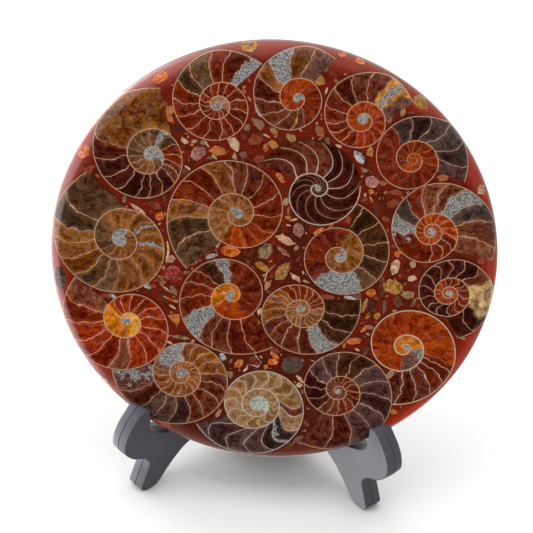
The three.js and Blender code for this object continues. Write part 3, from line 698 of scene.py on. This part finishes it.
# Each chip's stone, the middle, width and depth of its outline, its turn in degrees and its corners.
CHIPS = {
    "chip_red_pebble": ("red", (-32.7, -7.6), (6.6, 6.2), 0, 10),
    "chip_dark_pebble": ("taupe", (9.7, -37.3), (7.4, 6.6), 20, 10),
    "chip_amber_block": ("orange", (-14.2, 2.4), (7.2, 4.2), -6, 6),
    "chip_green_block": ("olive", (-2.6, 3.4), (6.4, 4.6), 55, 6),
    "chip_brown_grain": ("brown", (-8.2, 2.6), (3.8, 3.0), 20, 6),
    "chip_pink_wedge": ("pink", (7.8, 12.0), (5.4, 3.8), 100, 6),
    "chip_curved_shell": ("shell", (3.6, 8.0), (6.6, 3.0), -24, 6),
    "chip_pink_shard": ("pink", (3.4, 3.9), (6.6, 2.0), -34, 4),
    "chip_gold_shard": ("gold", (-3.4, -2.2), (5.6, 2.8), -28, 6),
    "chip_tan_blade": ("gold", (3.6, -3.4), (7.6, 4.4), 62, 6),
    "chip_cream_wedge": ("shell", (8.2, -5.2), (4.8, 1.9), -36, 4),
    "chip_orange_nib": ("orange", (41.2, 6.4), (2.6, 2.4), 70, 6),
    "chip_tan_tooth": ("shell", (40.9, 1.9), (6.2, 3.2), 80, 6),
    "chip_brown_flake": ("gold", (40.8, -5.6), (7.6, 5.4), -20, 6),
    "chip_orange_pebble": ("orange", (33.8, -8.4), (3.4, 3.0), 10, 8),
    "chip_gold_tooth": ("gold", (33.4, -16.8), (3.4, 1.8), 70, 4),
    "chip_orange_flake": ("orange", (29.6, -26.6), (5.6, 2.4), 12, 6),
    "chip_tan_strip": ("olive", (-29.0, -30.6), (6.8, 1.5), -4, 6),
    "chip_amber_flake": ("orange", (2.8, -36.9), (3.8, 2.6), 10, 6),
    "chip_brown_scroll": ("brown", (-3.4, -37.2), (4.8, 3.0), -30, 6),
    "chip_orange_spall": ("orange", (-8.6, -38.6), (4.2, 2.6), 50, 6),
    "chip_silver_grain": ("grey", (-14.2, -36.6), (3.2, 2.2), -50, 6),
    "chip_shell_ring": ("pink", (30.4, 31.0), (4.4, 4.2), 0, 12),
    "chip_orange_bead": ("orange", (30.4, 27.6), (2.2, 1.8), 0, 8),
    "chip_grey_wedge": ("grey", (25.6, 39.2), (5.2, 3.0), -50, 6),
    "chip_rose_block": ("pink", (-27.0, 36.0), (6.4, 4.6), 50, 6),
    "chip_pale_blade": ("shell", (-45.6, 14.6), (6.2, 1.4), -33, 6),
    "chip_orange_patch": ("orange", (-38.4, 12.6), (3.4, 2.8), 60, 6),
    "chip_slate_edge": ("taupe", (-70.6, -12.8), (8.4, 3.8), 97, 8),
    "chip_amber_edge": ("orange", (-64.4, 33.2), (5.6, 3.6), 62, 8),
    "chip_orange_edge": ("orange", (-40.6, 60.4), (6.0, 3.0), 32, 6),
    "chip_gold_edge": ("gold", (-12.8, 73.0), (5.6, 3.4), 8, 6),
    "chip_honey_edge": ("gold", (43.6, 59.2), (6.0, 3.6), -36, 6),
    "chip_pale_edge": ("shell", (66.2, 31.2), (5.0, 2.8), 120, 4),
}
# Slivers: the stone, the width, and the points that each follows.
SLIVERS = (
    ("shell", 0.9, ((-24.8, 40.2), (-23.6, 38.2))), ("shell", 0.8, ((-6.2, 44.4), (-4.0, 43.4))),
    ("shell", 0.8, ((-22.4, 35.8), (-20.8, 34.4))), ("shell", 0.9, ((-31.0, 31.2), (-29.2, 30.0))),
    ("olive", 1.4, ((26.6, 35.6), (28.4, 34.2))), ("shell", 0.8, ((-35.0, -2.0), (-34.8, 1.0), (-35.4, 4.0))),
    ("shell", 0.9, ((4.6, 15.0), (7.2, 15.9))), ("shell", 0.7, ((2.4, 10.4), (4.0, 8.1), (7.2, 6.9))),
    ("shell", 0.5, ((1.0, -1.0), (-1.6, -4.4), (-2.0, -7.0), (-1.0, -9.5))),
    ("grey", 1.6, ((-22.2, -0.8), (-18.4, 0.8))), ("orange", 1.6, ((13.0, 11.0), (16.0, 13.4))),
    ("orange", 1.2, ((17.5, 13.0), (19.0, 15.0))), ("shell", 0.9, ((-36.5, -12.0), (-33.0, -14.5))),
    ("orange", 0.8, ((-35.5, -16.0), (-32.0, -17.5))), ("shell", 0.9, ((-33.5, -19.0), (-31.2, -20.3))),
    ("grey", 2.0, ((-43.0, -11.4), (-40.0, -13.6))), ("grey", 1.4, ((-53.0, -17.0), (-51.0, -19.0))),
    ("grey", 1.6, ((-64.5, -14.4), (-60.0, -15.6))), ("shell", 1.2, ((-73.0, 5.2), (-72.8, 8.8))),
    ("brown", 3.0, ((36.0, -2.6), (37.5, -5.6), (37.4, -8.6))),
    ("shell", 0.6, ((41.0, -2.5), (43.0, -5.5), (45.0, -7.5))), ("grey", 1.8, ((25.0, -10.6), (29.0, -11.6))),
    ("gold", 1.6, ((32.6, -10.6), (31.4, -15.8))), ("orange", 1.4, ((33.4, -20.6), (31.6, -23.0))),
    ("shell", 0.9, ((30.2, -29.4), (31.8, -30.0))), ("olive", 1.6, ((63.5, -21.2), (67.0, -22.4))),
    ("shell", 1.0, ((-33.4, -32.6), (-31.6, -33.4))), ("shell", 1.8, ((-56.0, -48.0), (-51.8, -52.4))),
    ("shell", 0.8, ((-5.5, -38.7), (-6.0, -40.4), (-7.0, -41.5))),
    ("shell", 0.5, ((-3.5, -34.5), (-1.3, -37.5), (-2.0, -39.3), (-5.0, -38.5))),
    ("orange", 1.8, ((1.8, -33.4), (4.8, -35.6))), ("shell", 1.4, ((11.2, -41.2), (13.8, -43.8))),
    ("gold", 2.4, ((-10.0, -56.4), (-11.6, -62.6))), ("shell", 0.8, ((-14.5, -59.5), (-12.0, -61.5))),
    ("grey", 1.2, ((-9.6, 54.6), (-8.4, 51.8), (-7.2, 50.2))), ("orange", 1.6, ((15.6, 73.0), (18.4, 72.4))),
    ("orange", 1.6, ((21.6, 71.2), (24.4, 70.4))),
)
# Broken chips flush with the face, laid from the largest down, and crumbs sunk in the resin, in millimetres.
SMALL_CHIP_TRIES = 9000
SMALL_CHIP_SIZES = (0.9, 8.0)
CRUMBS = 1000
CRUMB_SIZES = (1.5, 7.0)
CRUMB_DEPTHS = (0.0, 2.0)
RUBBLE_RADIUS = PLATE_RADIUS - 5.5
RUBBLE_SEED = 31
# Sizes of the clouds and grains in the stones.
STONE_CLOUD, STONE_GRAIN, RUBBLE_CLOUD = 2.38, 0.909, 2.083
# How far they keep from the fossils, from each other and from the larger chips, as a share of their size.
CLEAR_OF_FOSSIL, CLEAR_OF_EACH, CLEAR_OF_CHIP = 0.26, 0.34, 0.42
RUBBLE_TINTS = ("7A2C18", "A0603A", "6A2A18", "8E3E24", "A87850", "5A2014", "B86C30", "B08868",
                "6E3A24", "8A3A1E", "7A5444", "B8783A", "5E2C1E", "C8A480", "4A2014", "8E6850")


def stone_material(stone):
    """Broken fossil stone ground and polished: two shades in clouds and grains, with a wet gloss."""
    material, tree, shader = new_material("polished_stone_" + stone, 0.12, 1.56)
    spot = add_node(tree, "TexCoord", output="Object")
    # The stone is clouded, and its crystals lean to orange or to grey.
    cloud = add_node(tree, "TexNoise", spot, Scale=repeats(STONE_CLOUD), Detail=7, Roughness=0.7,
                     Distortion=1.4)
    cloud = add_node(tree, "MapRange", cloud, 0.36, 0.62)
    shade = add_node(tree, "Mix", cloud, *map(linear, STONES[stone]), data_type="RGBA")
    rich = add_node(tree, "TexNoise", spot, Scale=repeats(STONE_GRAIN), Detail=4)
    rich = add_node(tree, "MapRange", rich, 0.35, 0.65, 0.75, 1.25)
    shade = add_node(tree, "HueSaturation", 0.487, rich, Color=shade)
    tree.links.new(shade, shader["Base Color"])
    return material


def rubble_material():
    """Mixed crumbs of the same stones, each with a colour of its own."""
    material, tree, shader = new_material("polished_stone_rubble", 0.25, 1.56)
    spot = add_node(tree, "TexCoord", output="Object")
    tint = add_node(tree, "SeparateXYZ", add_node(tree, "UVMap", uv_map="tint"))
    tint = add_node(tree, "ValToRGB", tint)
    tint.node.color_ramp.interpolation = "CONSTANT"
    stops = tint.node.color_ramp.elements
    stops.remove(stops[1])
    for index, shade in enumerate(RUBBLE_TINTS):
        stop = stops.new(index / len(RUBBLE_TINTS)) if index else stops[0]
        stop.color = linear(shade)
    cloud = add_node(tree, "TexNoise", spot, Scale=repeats(RUBBLE_CLOUD), Detail=5, Roughness=0.65,
                     Distortion=1.2)
    cloud = add_node(tree, "Math", cloud, 2.6, -0.45, operation="MULTIPLY_ADD")
    shade = add_node(tree, "Mix", cloud, linear("2A120A"), tint, data_type="RGBA", clamp_factor=True)
    tree.links.new(shade, shader["Base Color"])
    return material


def in_fossil(x, y, clear):
    """Whether a point of the face lies in a fossil, or nearer to it than a clearance."""
    for fossil in AMMONITES.values():
        across, up = x - fossil["centre"][0], y - fossil["centre"][1]
        bearing = math.degrees(math.atan2(up, across))
        back = (fossil["mouth"] - bearing) * fossil["grows"] % 360
        if back > 360 - fossil["lip"]:
            back = 360
        if math.hypot(across, up) < wall_radius(fossil["radii"], back) + clear:
            return True
    return False


def broken_outline(dice, middle, size, turn, corners):
    """An uneven outline with corners near an ellipse, and sides that swell a little or lie straight."""
    points = []
    for corner in range(corners):
        for part, depth in ((0, 1), (dice.uniform(0.35, 0.65), dice.uniform(0.98, 1.08))):
            angle = 2 * math.pi * (corner + part + (dice.uniform(-0.3, 0.3) if part == 0 else 0)) / corners
            spread = dice.uniform(0.9, 1.12) if part == 0 else depth * math.cos(math.pi / corners)
            points.append((size[0] / 2 * spread * math.cos(angle), size[1] / 2 * spread * math.sin(angle)))
    swing = Matrix.Rotation(math.radians(turn), 2)
    return [tuple(Vector(middle) + swing @ Vector(point)) for point in points]


def strip_outline(dice, width, points):
    """A tapered splinter along points, one side and back along the other."""
    path = [Vector(point) for point in points]
    path = [a.lerp(b, t) for a, b in zip(path, path[1:]) for t in (0, 0.5)] + [path[-1]]
    sides = ([], [])
    for index, here in enumerate(path):
        ahead = path[min(index + 1, len(path) - 1)] - path[max(index - 1, 0)]
        side = Vector((-ahead.y, ahead.x)).normalized()
        taper = math.sin(math.pi * (0.14 + 0.72 * index / (len(path) - 1)))
        for sign in (0, 1):
            reach = (0.5 - sign) * width * taper * dice.uniform(0.8, 1.1)
            sides[sign].append(here + side * reach)
    return [tuple(point) for point in sides[1] + sides[0][::-1]]


stone_materials = {stone: stone_material(stone) for stone in STONES}


def flush_chip(name, outline, top, stone):
    """A chip ground flush with the face, which follows the rounded rim where it lies on it."""
    chip = block_on(name, [squeeze_rim(x, y) for x, y in outline], ((top - CHIP_DEPTH, 0), (top, 0)))
    if max(math.hypot(x, y) for x, y in outline) > FLAT_RADIUS:
        refine_rim(chip)
        wrap_rim(chip)
    chip.data.materials.append(stone_materials[stone])
    return chip


for name, (stone, middle, size, turn, corners) in CHIPS.items():
    dice = random.Random(name)
    chip = flush_chip(name + "_polished", broken_outline(dice, middle, size, turn, corners), CHIP_TOP, stone)
    lay_on_plate(chip)
    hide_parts(name)
    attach(chip, PLATE_BODY)

for stone in dict.fromkeys(sliver[0] for sliver in SLIVERS):
    dice = random.Random(stone)
    slivers = [
        flush_chip(stone + "_sliver", strip_outline(dice, width, points), SLIVER_TOP, stone)
        for kind, width, points in SLIVERS if kind == stone]
    clear_selection()
    for sliver in slivers:
        sliver.select_set(True)
    bpy.context.view_layer.objects.active = slivers[0]
    bpy.ops.object.join()
    slivers[0].name = stone + "_slivers"
    lay_on_plate(slivers[0])
    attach(slivers[0], PLATE_BODY)

dice = random.Random(RUBBLE_SEED)
clear_selection()
bpy.ops.mesh.primitive_ico_sphere_add(subdivisions=1, radius=0.5)
rubble = bpy.context.object
rubble.name = "resin_rubble"
ball = [vertex.co.copy() for vertex in rubble.data.vertices]
ball_faces = [tuple(face.vertices) for face in rubble.data.polygons]
points, faces, tints, spots = [], [], [], []
for attempt in range(SMALL_CHIP_TRIES + 2 * CRUMBS):
    flush = attempt < SMALL_CHIP_TRIES
    low, high = SMALL_CHIP_SIZES if flush else CRUMB_SIZES
    size = high - (high - low) * ((attempt / SMALL_CHIP_TRIES) ** 0.45 if flush else dice.random() ** 0.6)
    reach, bearing = RUBBLE_RADIUS * math.sqrt(dice.random()), dice.uniform(0, 2 * math.pi)
    x, y = reach * math.cos(bearing), reach * math.sin(bearing)
    if in_fossil(x, y, size * CLEAR_OF_FOSSIL):
        continue
    if flush and any(math.hypot(x - a, y - b) < (size + other) * CLEAR_OF_EACH for a, b, other in spots):
        continue
    if flush and any(math.dist((x, y), middle) < (size + max(span)) * CLEAR_OF_CHIP
                     for _, middle, span, _, _ in CHIPS.values()):
        continue
    spots.append((x, y, size))
    thick = size * dice.uniform(0.4, 0.9)
    top = RUBBLE_TOP - 0.006 * dice.random() if flush else -dice.uniform(*CRUMB_DEPTHS) - thick / 2
    turn = Matrix.Rotation(dice.uniform(0, 2 * math.pi), 3, "Z")
    turn = turn @ Matrix.Rotation(dice.uniform(0, math.pi), 3, "X")
    swing = Matrix.Rotation(dice.uniform(0, 2 * math.pi), 2)
    narrow = dice.uniform(0.3, 0.9)
    faces += [tuple(len(points) + corner for corner in face) for face in ball_faces]
    tints += [dice.random()] * len(ball_faces)
    for corner in ball:
        spread = dice.uniform(0.55, 1.2)
        turned = turn @ corner
        flat = swing @ Vector((turned.x * size * spread, turned.y * size * narrow * spread))
        height = turned.z * thick * spread
        points.append((x + flat.x, y + flat.y, top + (min(height, 0) if flush else height)))
rubble.data.clear_geometry()
rubble.data.from_pydata(points, [], faces)
tint_map = rubble.data.uv_layers.new(name="tint")
for face, tint in zip(rubble.data.polygons, tints):
    for loop in face.loop_indices:
        tint_map.data[loop].uv = (tint, 0)
rubble.data.materials.append(rubble_material())
lay_on_plate(rubble)
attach(rubble, PLATE_BODY)

# ---- Stand legs ----
# Two mirrored legs, injection moulded in dark grey ABS 7 mm thick, with a satin skin. The edges taper from
# the parting line of the mould in the middle of their thickness. The plate leans on the arms and sits in the
# hooks.
LEG_FACE_OFFSET = 0.25
LEG_BACK_EDGE = 5.2
SLOT_MIDDLE = 50
ARM_TOP = 97
LEG_THICKNESS = 7
LEG_SPLAY = 45
LEAN = 14
HINGE_BEHIND_ORIGIN = 18.3
BARREL_RADIUS = 4.5
BORE_RADIUS = 1.8
WEB_THICKNESS = 4
ROUNDING = 0.4
CURVE_STEPS = 6
HOOK_ROOT = 28
HOOK_CREST = 57.4
HOOK_DRAFT = 2.2
HOOK_FADE = (2.4, 4)
# Sizes of the clouds that the flow leaves in the moulding, and of the grain of its skin.
FLOW_CLOUD, SKIN_GRAIN = 12.5, 0.5
# Distance through the thickness, and how far the edge is drawn in there.
EDGE_PROFILE = (
    (0, 0.42), (0.14, 0.22), (0.4, 0.14), (3.3, 0), (3.42, 0.2), (3.58, 0.2), (3.7, 0), (6.6, 0.14),
    (6.86, 0.22), (LEG_THICKNESS, 0.42))
# Each leg's side, the body it moves with, whether it is the mirrored one, and the heights of its knuckles.
LEGS = {
    "leg_left": (PLATE_BODY, False, ((8, 26.2), (50, 68))),
    "leg_right": ("right_leg", True, ((26.6, 49.6),)),
}


def arc_to(points, pull, end):
    """Carries an outline on along a curve that heads for a point and ends at another."""
    start = points[-1]
    for step in range(1, CURVE_STEPS + 1):
        t = step / CURVE_STEPS
        points.append(tuple(
            (1 - t) ** 2 * a + 2 * t * (1 - t) * b + t * t * c for a, b, c in zip(start, pull, end)))


def wave_through(points, stops):
    """Carries an outline on along a smooth wave through points."""
    run = [Vector(points[-1])] + [Vector(stop) for stop in stops]
    for index in range(len(run) - 1):
        before, here = run[max(index - 1, 0)], run[index]
        after, beyond = run[index + 1], run[min(index + 2, len(run) - 1)]
        for step in range(1, CURVE_STEPS + 1):
            points.append(tuple(on_curve(before, here, after, beyond, step / CURVE_STEPS)))


def leg_outline():
    """The side of a leg: forward from the hinge, and up from the table."""
    slope = math.tan(math.radians(LEAN)) / math.cos(math.radians(LEG_SPLAY))
    slot_front, slot_height, slot_back = 54.8, 27, 35.5
    slot_floor = slot_height - (slot_front - slot_back) * slope
    arm_top = slot_back - (ARM_TOP - slot_floor) * slope
    points = [(LEG_BACK_EDGE, 0), (14, 0)]
    arc_to(points, (17.5, 13.5), (28.5, 14))
    wave_through(points, ((35.6, 12.4), (42, 7.5), (47.4, 1.6), (50.4, 0.1)))
    points.append((52.6, 0))
    arc_to(points, (55.2, 0), (55.8, 2.3))
    wave_through(points, (
        (54.3, 6.3), (52.4, 12), (54.4, 15.3), (59.5, 18), (63.2, 22.4), (63.3, 27), (61.3, 31.6),
        (58.2, 35.4), (56.6, 37.2)))
    arc_to(points, (55.6, 38.4), (slot_front, 37.2))
    points.append((slot_front, slot_height + 7.5))
    arc_to(points, (slot_front - 1.4, slot_height - 0.8), (slot_front - 8.8, slot_height - 8.8 * slope))
    points += [(slot_back, slot_floor), (arm_top, ARM_TOP)]
    arc_to(points, (arm_top - 0.8, ARM_TOP + 2), (LEG_BACK_EDGE, ARM_TOP + 2))
    return points


def rounded_tool(piece):
    """Rounds the sharp edges of a piece that is to be joined to another."""
    edges = piece.modifiers.new("edges", "BEVEL")
    edges.width = ROUNDING
    edges.segments = 3
    edges.limit_method = "ANGLE"
    bpy.ops.object.modifier_apply(modifier="edges")
    return piece


def join_to(piece, tool, operation):
    """Joins a tool to a piece, or cuts it away, and clears the tool."""
    cut(piece, tool, operation)
    bpy.data.objects.remove(tool)


leg_material, leg_tree, leg_shader = new_material("abs_injection_moulded_satin", 0.42, 1.53)
leg_spot = add_node(leg_tree, "TexCoord", output="Object")
# The moulding's flow leaves faint clouds 12 mm across, and its skin a grain of half a millimetre.
leg_flow = add_node(leg_tree, "TexNoise", leg_spot, Scale=repeats(FLOW_CLOUD), Detail=3)
leg_tone = add_node(leg_tree, "Mix", leg_flow, linear("3E3F48"), linear("55565F"), data_type="RGBA")
leg_tree.links.new(leg_tone, leg_shader["Base Color"])
leg_grain = add_node(leg_tree, "TexNoise", leg_spot, Scale=repeats(SKIN_GRAIN), Detail=2)
leg_skin = add_node(leg_tree, "Bump", 0.25, 0.06 * MM, Height=leg_grain)
leg_tree.links.new(leg_skin, leg_shader["Normal"])

for name, (body, mirrored, knuckles) in LEGS.items():
    layers = [(LEG_FACE_OFFSET + depth, inset) for depth, inset in EDGE_PROFILE]
    leg = block_on(name + "_moulding", leg_outline(), layers)
    # The hook's inner wall is drafted towards the plate, which crosses it aslant.
    for vertex in leg.data.vertices:
        along, height, depth = vertex.co
        if SLOT_MIDDLE < along < HOOK_CREST and height > HOOK_ROOT:
            share = min((HOOK_CREST - along) / HOOK_FADE[0], 1) * min((height - HOOK_ROOT) / HOOK_FADE[1], 1)
            vertex.co.x -= HOOK_DRAFT * share * (1 - (depth - LEG_FACE_OFFSET) / LEG_THICKNESS)
    for low, high in knuckles:
        clear_selection()
        bpy.ops.mesh.primitive_cylinder_add(
            vertices=48, radius=BARREL_RADIUS, depth=high - low, location=(0, (low + high) / 2, 0),
            rotation=(math.radians(90), 0, 0))
        bpy.ops.object.transform_apply()
        barrel = rounded_tool(bpy.context.object)
        clear_selection()
        web_reach = LEG_BACK_EDGE + 1
        bpy.ops.mesh.primitive_cube_add(
            size=1, location=(web_reach / 2, (low + high) / 2, LEG_FACE_OFFSET + WEB_THICKNESS / 2),
            scale=(web_reach, high - low, WEB_THICKNESS))
        bpy.ops.object.transform_apply()
        web = rounded_tool(bpy.context.object)
        join_to(leg, barrel, "UNION")
        join_to(leg, web, "UNION")
    clear_selection()
    bpy.ops.mesh.primitive_cylinder_add(
        vertices=48, radius=BORE_RADIUS, depth=2 * ARM_TOP, rotation=(math.radians(90), 0, 0))
    bpy.ops.object.transform_apply()
    join_to(leg, bpy.context.object, "DIFFERENCE")
    ahead = math.sqrt(0.5)
    aside = -ahead if mirrored else ahead
    to_stand = Matrix((
        (-aside, 0, -aside, 0), (-ahead, 0, ahead, HINGE_BEHIND_ORIGIN), (0, 1, 0, 0), (0, 0, 0, 1)))
    leg.data.transform(Matrix.Scale(MM, 4) @ to_stand)
    if mirrored:
        leg.data.flip_normals()
    smooth(leg, 32)
    leg.data.materials.clear()
    leg.data.materials.append(leg_material)
    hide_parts(name)
    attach(leg, body)

# ---- Hinge pin ----
# A pin with a domed head, moulded in the same dark plastic as the legs. It is dropped through the knuckles of
# both from above, and the right leg turns on it.
PIN_RADIUS = 1.7
PIN_SIDES = 40
PIN_PROFILE = ((8, 0.35), (8.35, 0), (68.1, 0), (68.11, -1.5), (69.0, -1.5), (69.35, -1.25), (69.6, -0.6))

pin = block_on("hinge_pin_moulding", circle(PIN_RADIUS, PIN_SIDES), PIN_PROFILE)
smooth(pin, 40)
pin.data.materials.append(leg_material)
pin.data.transform(Matrix.Scale(MM, 4) @ Matrix.Translation((0, HINGE_BEHIND_ORIGIN, 0)))
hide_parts("hinge_pin")
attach(pin, PLATE_BODY)

# ---- Floor, light and camera ----
# A plain white sweep in a bright studio, with a window on the left and a pale wall behind. The camera looks
# down at the plate from the front, and black cloth hangs where the flat face would mirror the room.
CLOTH_DIRECTION = (0, -0.985, -0.17)
CAMERA_DISTANCE = 0.7
CAMERA_LENS = 141.98
CAMERA_SHIFT = (-0.0110, -0.0097)
AZIMUTH, ELEVATION, ROLL = (math.radians(angle) for angle in (1.0, 36.61, 4.234))
LIT_POINT = Vector((0, 0, 0.08))
# Each lamp's place, its width in metres and its power in watts.
LAMPS = {"left_box": ((-1.0, -0.45, 0.6), 0.9, 2.5), "right_box": ((0.9, -0.6, 0.9), 0.9, 2.4),
         "top_box": ((0, 0.1, 1.3), 1.1, 8)}

clear_selection()
bpy.ops.mesh.primitive_plane_add(size=10, location=(0, 0, 0))
floor = bpy.context.object
floor.name = "floor"
floor_material, _, floor_shader = new_material("matt_white_paper", 0.9, 1.45)
floor_shader["Base Color"].default_value = linear("FAFAF8")
floor.data.materials.append(floor_material)
floor.visible_glossy = False

world = bpy.data.worlds.new("studio")
bpy.context.scene.world = world
world.use_nodes = True
studio = world.node_tree
ray = add_node(studio, "TexCoord")
to_right, to_back, upwards = add_node(studio, "SeparateXYZ", ray).node.outputs
cloth = add_node(studio, "VectorMath", ray, CLOTH_DIRECTION, operation="DOT_PRODUCT")
cloth = add_node(studio, "MapRange", cloth, 0.8, 0.94, 0.8, 0.02, interpolation_type="SMOOTHSTEP")
side = add_node(studio, "MapRange", to_right, -0.6, 0.7, 0.6, 0.4)
window = add_node(studio, "MapRange", to_right, -0.3, -0.8, 0, 3.2, interpolation_type="SMOOTHSTEP")
low = add_node(studio, "MapRange", upwards, 0.25, -0.05, 0.4, 1)
wall_behind = add_node(studio, "MapRange", to_back, 0.1, 0.7, 1, 2.4)
strength = add_node(studio, "Math", window, low, side, operation="MULTIPLY_ADD")
for share in (cloth, wall_behind):
    strength = add_node(studio, "Math", strength, share, operation="MULTIPLY")
background = studio.nodes["Background"].inputs
background["Color"].default_value = (1, 1, 1, 1)
studio.links.new(strength, background["Strength"])

for name, (place, size, power) in LAMPS.items():
    lamp_data = bpy.data.lights.new(name, "AREA")
    lamp_data.size = size
    lamp_data.energy = power
    lamp = bpy.data.objects.new(name, lamp_data)
    lamp.location = place
    lamp.rotation_euler = (LIT_POINT - Vector(place)).to_track_quat("-Z", "Y").to_euler()
    lamp.visible_glossy = False
    bpy.context.scene.collection.objects.link(lamp)

towards = Vector((
    math.sin(AZIMUTH) * math.cos(ELEVATION), -math.cos(AZIMUTH) * math.cos(ELEVATION), math.sin(ELEVATION)))
right = Vector((math.cos(AZIMUTH), math.sin(AZIMUTH), 0))
up = towards.cross(right)
turned_right = right * math.cos(ROLL) + up * math.sin(ROLL)
turned_up = up * math.cos(ROLL) - right * math.sin(ROLL)
camera_data = bpy.data.cameras.new("camera")
camera_data.lens = CAMERA_LENS
camera_data.sensor_width = 36
camera_data.shift_x, camera_data.shift_y = CAMERA_SHIFT
camera = bpy.data.objects.new("camera", camera_data)
turn = Matrix((turned_right, turned_up, towards)).transposed().to_4x4()
camera.matrix_world = Matrix.Translation(face_centre + towards * CAMERA_DISTANCE) @ turn
bpy.context.scene.collection.objects.link(camera)
bpy.context.scene.camera = camera
bpy.context.scene.view_settings.view_transform = "Standard"
